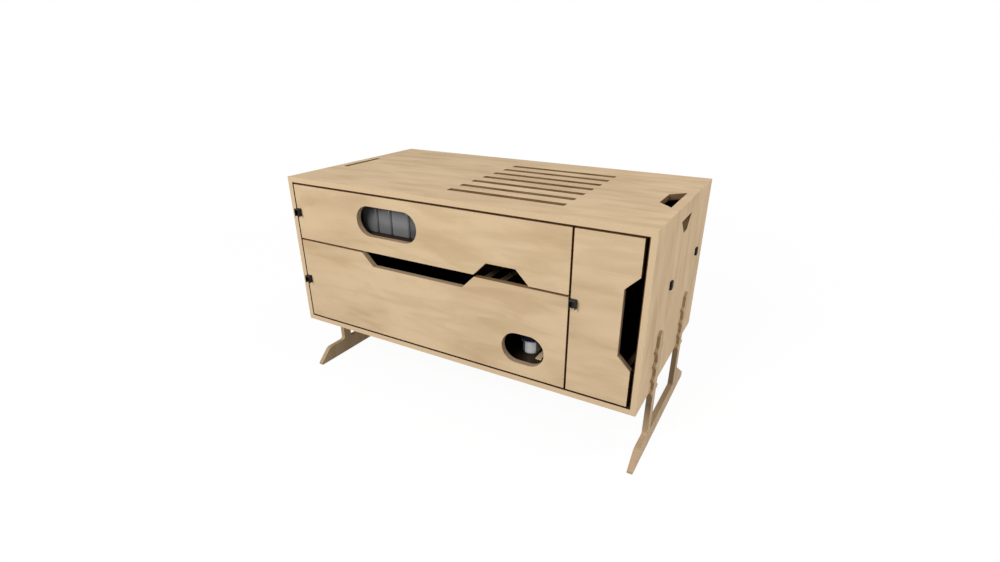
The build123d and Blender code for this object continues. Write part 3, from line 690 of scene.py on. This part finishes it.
def loft(rings):
    """A closed skin over rings with the same number of points."""
    bm = bmesh.new()
    rows = [[bm.verts.new(point) for point in ring] for ring in rings]
    count = len(rows[0])
    for lower, upper in zip(rows, rows[1:]):
        for index in range(count):
            after = (index + 1) % count
            bm.faces.new((lower[index], lower[after], upper[after], upper[index]))
    bm.faces.new(list(reversed(rows[0])))
    bm.faces.new(rows[-1])
    return bm


def rounded_ring(low, high, inset, corner, height):
    """A rectangle with round corners, drawn inwards by inset."""
    radius = max(corner - inset, SMALLEST_CORNER)
    left, right = low.x + inset + radius, high.x - inset - radius
    front, back = low.y + inset + radius, high.y - inset - radius
    ring = []
    for index, (x, y) in enumerate(((right, back), (left, back), (left, front), (right, front))):
        for step in range(CORNER_STEPS + 1):
            angle = math.pi / 2 * (index + step / CORNER_STEPS)
            ring.append((x + radius * math.cos(angle), y + radius * math.sin(angle), height))
    return ring


def round_ring(x, y, radius, height, count):
    """A circle of points."""
    turn = 2 * math.pi / count
    return [(x + radius * math.cos(turn * step), y + radius * math.sin(turn * step), height)
            for step in range(count)]


# ---------------------------------------------------------------------------
# Operators
# ---------------------------------------------------------------------------

class CHUCKBOX_OT_case(Operator):
    """Veneer the case panels, with clean front edges, cut-outs scorched and darkened by painted shade, film
    that also paints the shade inside, and a dark inner seam of painted gap shade
    """
    bl_idname = "chuckbox.case"
    bl_label = "Case Panels"

    def execute(self, context):
        wood = context.scene.chuckbox_plywood
        edges = {"clean_front": FRONT_FACE + CLEAN_RIM, "clean_back": BACK_FACE - CLEAN_RIM,
                 "brown": wood.scorch_and_shade}
        # The last number of each panel is the width of its seam of painted gap shade.
        panels = (("top_panel", "XYZ", (0.31, 0.12, 0.0), -1, 0.0013),
                  ("bottom_panel", "XYZ", (2.1, 0.7, 0.0), 1, 0.0009),
                  ("left_side", "ZYX", (4.2, 0.33, 0.0), 1, 0.0004),
                  ("right_side", "ZYX", (1.37, 0.61, 0.0), -1, 0.0015),
                  ("back_panel", "XZY", (3.3, 0.2, 0.0), -1, 0.0004))
        for node, lay, shift, film, line in panels:
            dress(node, plywood(f"Birch ply {node.replace('_', ' ')}", lay, wood, shift, film=film,
                                board=node, line=line, **edges))
        dress("divider", plywood("Filmed ply divider", "YZX", wood, (5.2, 0.4, 0.0), brown=wood.scorch_and_shade,
                                 film=2))
        return {"FINISHED"}


class CHUCKBOX_OT_fronts(Operator):
    """Veneer the drawer fronts, with the windows and pull notches browned by the cutter and darkened by
    painted shade, and outer edges darkened partly as painted shade of the gaps round them
    """
    bl_idname = "chuckbox.fronts"
    bl_label = "Drawer Fronts"

    def execute(self, context):
        wood = context.scene.chuckbox_plywood
        shifts = {"upper": (0.9, 0.05, 0.0), "lower": (0.42, 1.31, 0.0), "right": (1.9, 2.3, 0.0)}
        for drawer in DRAWERS:
            node = f"{drawer}_front"
            dress(node, plywood(f"Birch ply {drawer} front", "XZY", wood, shifts[drawer], film=1, board=node))
        return {"FINISHED"}


class CHUCKBOX_OT_boxes(Operator):
    """Face the drawer boxes with dark film that also paints the shade inside them, which leaves the edges of
    the partitions bare
    """
    bl_idname = "chuckbox.boxes"
    bl_label = "Drawer Boxes"

    def execute(self, context):
        wood = context.scene.chuckbox_plywood
        # The boxes' edges take the film's colour, painted shade inside the drawers.
        faced = {"film": 2, "brown": wood.film}
        for index, drawer in enumerate(DRAWERS):
            side = plywood(f"Filmed ply {drawer} sides", "YZX", wood, (index * 1.3, 0.8, 0.0), **faced)
            back = plywood(f"Filmed ply {drawer} back", "XZY", wood, (index * 0.9, 1.8, 0.0), **faced)
            floor = plywood(f"Filmed ply {drawer} floor", "XYZ", wood, (index * 0.7, 2.8, 0.0), **faced)
            dress(f"{drawer}_box_left", side)
            dress(f"{drawer}_box_right", side)
            dress(f"{drawer}_box_back", back)
            dress(f"{drawer}_floor", floor)
        dress("lower_box_partitions", plywood("Filmed ply partitions", "YZX", wood, (6.1, 0.2, 0.0), film=2,
                                              browning_and_shade=0.0))
        return {"FINISHED"}


class CHUCKBOX_OT_joinery(Operator):
    """Finish the dowels and the corner splines"""
    bl_idname = "chuckbox.joinery"
    bl_label = "Dowels and Splines"

    def execute(self, context):
        hardware = context.scene.chuckbox_hardware
        beech = solid_wood("Turned beech", hardware.beech, "Y")
        for node in ("case_dowels", *(f"{drawer}_dowels" for drawer in DRAWERS)):
            dress(node, beech)
        dress("corner_splines", solid_wood("Sawn beech splines", hardware.beech, "Y"))
        return {"FINISHED"}


class CHUCKBOX_OT_legs(Operator):
    """Veneer the leg frames in a darker tone that paints their shade, with every edge browned by the cutter
    and by painted shade, and plate their magnets
    """
    bl_idname = "chuckbox.legs"
    bl_label = "Leg Frames"

    def execute(self, context):
        wood = context.scene.chuckbox_plywood
        # The darker tone and browned edges are partly painted shade of the leg frames.
        for side, shift in (("left", (0.2, 3.1, 0.0)), ("right", (1.6, 3.7, 0.0))):
            dress(f"{side}_leg", plywood(f"Birch ply {side} leg", "ZYX", wood, shift, brown=wood.rim,
                                         browning_and_shade=wood.browning_and_shade, tone=wood.leg_shade_tone))
        nickel = plated_metal("Nickel magnets", context.scene.chuckbox_hardware.nickel, spangle=0.05)
        for node in ("left_leg_magnets", "right_leg_magnets", "case_magnets"):
            dress(node, nickel)
        return {"FINISHED"}


class CHUCKBOX_OT_slides(Operator):
    """Plate the drawer slides, their ball cages and the screws"""
    bl_idname = "chuckbox.slides"
    bl_label = "Drawer Slides"

    def execute(self, context):
        hardware = context.scene.chuckbox_hardware
        rolled = plated_metal("Dark plated slide", hardware.steel, spangle=0.7)
        drawn = plated_metal("Dark plated ball cage", [part * 1.1 for part in hardware.steel], spangle=0.15)
        plated = plated_metal("Zinc plated screws", hardware.zinc, spangle=0.3)
        for drawer in DRAWERS:
            dress(f"{drawer}_slide_case_members", rolled)
            dress(f"{drawer}_slide_drawer_members", rolled)
            dress(f"{drawer}_slide_cages", drawn)
            dress(f"{drawer}_slide_screws", plated)
        dress("slide_case_screws", plated)
        return {"FINISHED"}


class CHUCKBOX_OT_latches(Operator):
    """Finish the quarter-turn latches and the studs on the sides"""
    bl_idname = "chuckbox.latches"
    bl_label = "Latches and Studs"

    def execute(self, context):
        hardware = context.scene.chuckbox_hardware
        knob = moulded_plastic("Black latch plastic", hardware.plastic, shiny=0.34, dull=0.5)
        stud = moulded_plastic("Black stud plastic", hardware.plastic, shiny=0.65, dull=0.85, size=1.4)
        cam = plated_metal("Zinc plated cam", hardware.zinc, spangle=0.35)
        sleeve = plated_metal("Turned brass sleeve", hardware.brass, spangle=0.05)
        for drawer in DRAWERS:
            dress(f"{drawer}_latch_knob", knob)
            dress(f"{drawer}_latch_cam", cam)
            dress(f"{drawer}_latch_bush", sleeve)
        dress("side_studs", stud)
        return {"FINISHED"}


def solid_boxes(node):
    """Corners of each separate solid of a node, from left to right."""
    bm = bmesh.new()
    bm.from_mesh(NODES[node].data)
    bmesh.ops.remove_doubles(bm, verts=bm.verts, dist=SAME_POINT)
    left = set(bm.verts)
    boxes = []
    while left:
        stack = [left.pop()]
        found = []
        while stack:
            vertex = stack.pop()
            found.append(vertex.co.copy())
            for edge in vertex.link_edges:
                other = edge.other_vert(vertex)
                if other in left:
                    left.remove(other)
                    stack.append(other)
        low = Vector([min(point[axis] for point in found) for axis in range(3)])
        high = Vector([max(point[axis] for point in found) for axis in range(3)])
        boxes.append((low, high))
    bm.free()
    return sorted(boxes, key=lambda pair: pair[0].x)


class CHUCKBOX_OT_canisters(Operator):
    """Mould the canisters with their lids in place of the plain ones"""
    bl_idname = "chuckbox.canisters"
    bl_label = "Canisters"

    def execute(self, context):
        ware = context.scene.chuckbox_ware
        lid_finish = moulded_plastic("Canister lid plastic", ware.lid, shiny=0.25, dull=0.42, grain=0.00008)
        for number, (low, high) in enumerate(solid_boxes("canisters"), 1):
            # The third canister's lighter tone is a painted highlight.
            tone = CANISTER_TONES_AND_HIGHLIGHT[(number - 1) % len(CANISTER_TONES_AND_HIGHLIGHT)]
            body_finish = moulded_plastic(f"Smoked canister plastic {number}",
                                          [part * tone for part in ware.canister],
                                          shiny=0.12, dull=0.3, grain=0.00004)
            seam = high.z - ware.lid_depth
            body_levels = ((low.z, 0.0022), (low.z + 0.0006, 0.001), (low.z + 0.0018, 0.0),
                           (seam - 0.0014, 0.0), (seam - 0.0008, 0.0007), (seam, 0.0007))
            lid_levels = ((seam + 0.0003, 0.001), (seam + 0.0004, 0.0001), (high.z - 0.0022, 0.0),
                          (high.z - 0.0007, 0.0006), (high.z, 0.002), (high.z, 0.0048),
                          (high.z - 0.0012, 0.0056))
            for part, levels, finish in (("body", body_levels, body_finish), ("lid", lid_levels, lid_finish)):
                rings = [rounded_ring(low, high, inset, ware.canister_corner, z) for z, inset in levels]
                piece = mesh_object(f"canister_{part}_{number}", loft(rings), finish)
                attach(piece, "upper_drawer")
                if (part, number) == ("body", 1):
                    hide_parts("canisters")
        return {"FINISHED"}


class CHUCKBOX_OT_cup(Operator):
    """Spin the cup's enamel bowl and its foot in place of the plain ones"""
    bl_idname = "chuckbox.cup"
    bl_label = "Cup"

    def execute(self, context):
        ware = context.scene.chuckbox_ware
        low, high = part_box("cup")
        x, y = (low.x + high.x) / 2, (low.y + high.y) / 2
        wide = (high.x - low.x) / 2
        foot = CUP_FOOT_RADIUS
        shoulder = low.z + CUP_FOOT_HEIGHT
        stem = ((foot - 0.0055, low.z + 0.0008), (foot - 0.0045, low.z), (foot - 0.0025, low.z + 0.0006),
                (foot - 0.0008, low.z + 0.0026), (foot, low.z + 0.006), (foot, shoulder - 0.0025),
                (foot - 0.0006, shoulder - 0.0012), (foot - 0.0006, shoulder))
        bowl = ((foot - 0.002, shoulder - 0.0011), (foot + 0.0012, shoulder - 0.0006),
                (wide - 0.003, shoulder + 0.0004), (wide - 0.0014, shoulder + 0.0012),
                (wide - 0.0006, shoulder + 0.0035), (wide - 0.0006, high.z - 0.004),
                (wide - 0.0002, high.z - 0.0022), (wide - 0.0004, high.z - 0.0006),
                (wide - 0.0014, high.z), (wide - 0.0022, high.z - 0.0012),
                (wide - 0.002, high.z - 0.004), (wide - 0.002, shoulder + 0.005),
                (wide - 0.004, shoulder + 0.0026), (foot, shoulder + 0.0018))
        # The lip band paints a highlight on the shoulder, and the foot's patch paints a pool of light on its
        # front.
        glazed = enamel("Bowl enamel", ware.enamel, ware.painted_lip_highlight, (low.x, low.y, shoulder - 0.003),
                        (high.x, high.y, shoulder + 0.0032))
        pale = enamel("Foot enamel", ware.foot, ware.label, (x - 0.007, low.y, low.z + 0.0005),
                      (x + 0.0147, y, shoulder))
        for name, profile, finish in (("cup_foot", stem, pale), ("cup_bowl", bowl, glazed)):
            rings = [round_ring(x, y, radius, z, ware.cup_sides) for radius, z in profile]
            piece = mesh_object(name, loft(rings), finish)
            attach(piece, "lower_drawer")
            if name == "cup_bowl":
                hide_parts("cup")
        return {"FINISHED"}


class CHUCKBOX_OT_stage(Operator):
    """Lay the floor, hang the lamps and place the camera"""
    bl_idname = "chuckbox.stage"
    bl_label = "Stage"

    def execute(self, context):
        stage = context.scene.chuckbox_stage
        self.lay_floor(stage)
        self.light_world(context, stage)
        self.hang_lamp("key_lamp", stage.key, size=2.2, place=(-0.9, -3.6, 2.6), target=(0.0, 0.0, 0.25))
        self.hang_lamp("side_lamp", stage.fill, size=1.2, place=(2.9, -0.5, 0.6), target=(0.3, 0.0, 0.15))
        self.hang_lamp("back_lamp", stage.top, size=1.4, place=(1.6, 0.4, 2.6), target=(0.2, 0.1, 0.35))
        self.place_camera(context, stage)
        context.scene.view_settings.view_transform = "Standard"
        return {"FINISHED"}

    def seen_directly(self, wires):
        """1 for rays that show the background as the eye or a shiny surface sees it."""
        path = wires.add("ShaderNodeLightPath")
        shiny = wires.maths("MAXIMUM", path.outputs["Is Glossy Ray"], path.outputs["Is Transmission Ray"])
        return wires.maths("MAXIMUM", path.outputs["Is Camera Ray"], shiny)

    def lay_floor(self, stage):
        """A pale floor that keeps the object's shadow."""
        bm = bmesh.new()
        bmesh.ops.create_grid(bm, x_segments=1, y_segments=1, size=stage.floor_size / 2)
        mesh = bpy.data.meshes.new("floor")
        bm.to_mesh(mesh)
        bm.free()
        floor = bpy.data.objects.new("floor", mesh)
        bpy.context.scene.collection.objects.link(floor)
        material = bpy.data.materials.new("Pale floor")
        material.use_nodes = True
        material.node_tree.nodes.clear()
        w = Wiring(material.node_tree)
        out = w.add("ShaderNodeOutputMaterial")
        plain = w.add("ShaderNodeBsdfDiffuse")
        plain.inputs["Color"].default_value = (0.3, 0.3, 0.3, 1.0)
        where = w.add("ShaderNodeTexCoord")
        reach = w.add("ShaderNodeVectorMath", operation="LENGTH")
        w.feed(reach, 0, where.outputs["Object"])
        far = w.spread(reach.outputs["Value"], 0.7, 2.4)
        shown = w.add("ShaderNodeBsdfDiffuse")
        w.feed(shown, "Color", w.blend(far, (0.08, 0.08, 0.08, 1.0), (0.0, 0.0, 0.0, 1.0)))
        glow = w.add("ShaderNodeEmission")
        w.feed(glow, "Strength", w.spread(far, 0.0, 1.0, 0.94, 1.0, smooth=False))
        both = w.add("ShaderNodeAddShader")
        w.feed(both, 0, shown.outputs[0])
        w.feed(both, 1, glow.outputs[0])
        pick = w.add("ShaderNodeMixShader")
        w.feed(pick, 0, self.seen_directly(w))
        w.feed(pick, 1, plain.outputs[0])
        w.feed(pick, 2, both.outputs[0])
        w.feed(out, 0, pick.outputs[0])
        mesh.materials.append(material)

    def light_world(self, context, stage):
        """White to the eye, and an even light of the stated strength on the object."""
        world = bpy.data.worlds.new("Even sky")
        context.scene.world = world
        world.use_nodes = True
        world.node_tree.nodes.clear()
        w = Wiring(world.node_tree)
        out = w.add("ShaderNodeOutputWorld")
        sky = w.add("ShaderNodeBackground")
        sky.inputs["Color"].default_value = (1.0, 1.0, 1.0, 1.0)
        w.feed(sky, "Strength", w.spread(self.seen_directly(w), 0.0, 1.0, stage.sky, 1.0, smooth=False))
        w.feed(out, 0, sky.outputs[0])

    def hang_lamp(self, name, power, size, place, target):
        """A large soft lamp aimed at the box."""
        lamp = bpy.data.lights.new(name, "AREA")
        lamp.shape = "SQUARE"
        lamp.size = size
        lamp.energy = power
        made = bpy.data.objects.new(name, lamp)
        made.location = place
        made.rotation_euler = (Vector(target) - Vector(place)).to_track_quat("-Z", "Y").to_euler()
        bpy.context.scene.collection.objects.link(made)

    def place_camera(self, context, stage):
        """The camera, level and turned towards the box."""
        lens = bpy.data.cameras.new("camera")
        lens.sensor_fit = "HORIZONTAL"
        lens.sensor_width = CAMERA_FRAME
        lens.lens = stage.focal_length
        lens.shift_x = stage.shift_across
        lens.shift_y = stage.shift_up
        lens.clip_start = 0.01
        made = bpy.data.objects.new("camera", lens)
        made.location = stage.camera_place
        made.rotation_euler = (stage.camera_tilt, 0.0, stage.camera_turn)
        context.scene.collection.objects.link(made)
        context.scene.camera = made


class CHUCKBOX_PT_sidebar(Panel):
    """Lists the steps that dress the chuck box"""
    bl_idname = "CHUCKBOX_PT_sidebar"
    bl_label = "Chuck Box"
    bl_space_type = "VIEW_3D"
    bl_region_type = "UI"
    bl_category = "Chuck Box"

    def draw(self, context):
        column = self.layout.column(align=True)
        for step in STEPS:
            column.operator(step.bl_idname)
        for name in SETTINGS:
            box = self.layout.box()
            for field in getattr(context.scene, name).__annotations__:
                box.prop(getattr(context.scene, name), field)


SETTINGS = {"chuckbox_plywood": PlywoodSettings, "chuckbox_hardware": HardwareSettings,
            "chuckbox_ware": WareSettings, "chuckbox_stage": StageSettings}
STEPS = (CHUCKBOX_OT_case, CHUCKBOX_OT_fronts, CHUCKBOX_OT_boxes, CHUCKBOX_OT_joinery, CHUCKBOX_OT_legs,
         CHUCKBOX_OT_slides, CHUCKBOX_OT_latches, CHUCKBOX_OT_canisters, CHUCKBOX_OT_cup, CHUCKBOX_OT_stage)


def register():
    """Registers the settings, the operators and the panel."""
    for name, group in SETTINGS.items():
        bpy.utils.register_class(group)
        setattr(bpy.types.Scene, name, PointerProperty(type=group))
    for step in STEPS:
        bpy.utils.register_class(step)
    bpy.utils.register_class(CHUCKBOX_PT_sidebar)


def unregister():
    """Takes them away again."""
    bpy.utils.unregister_class(CHUCKBOX_PT_sidebar)
    for step in reversed(STEPS):
        bpy.utils.unregister_class(step)
    for name, group in SETTINGS.items():
        delattr(bpy.types.Scene, name)
        bpy.utils.unregister_class(group)


def main():
    """Dresses the box."""
    register()
    for step in STEPS:
        family, name = step.bl_idname.split(".")
        getattr(getattr(bpy.ops, family), name)()


if __name__ == "__main__":
    main()
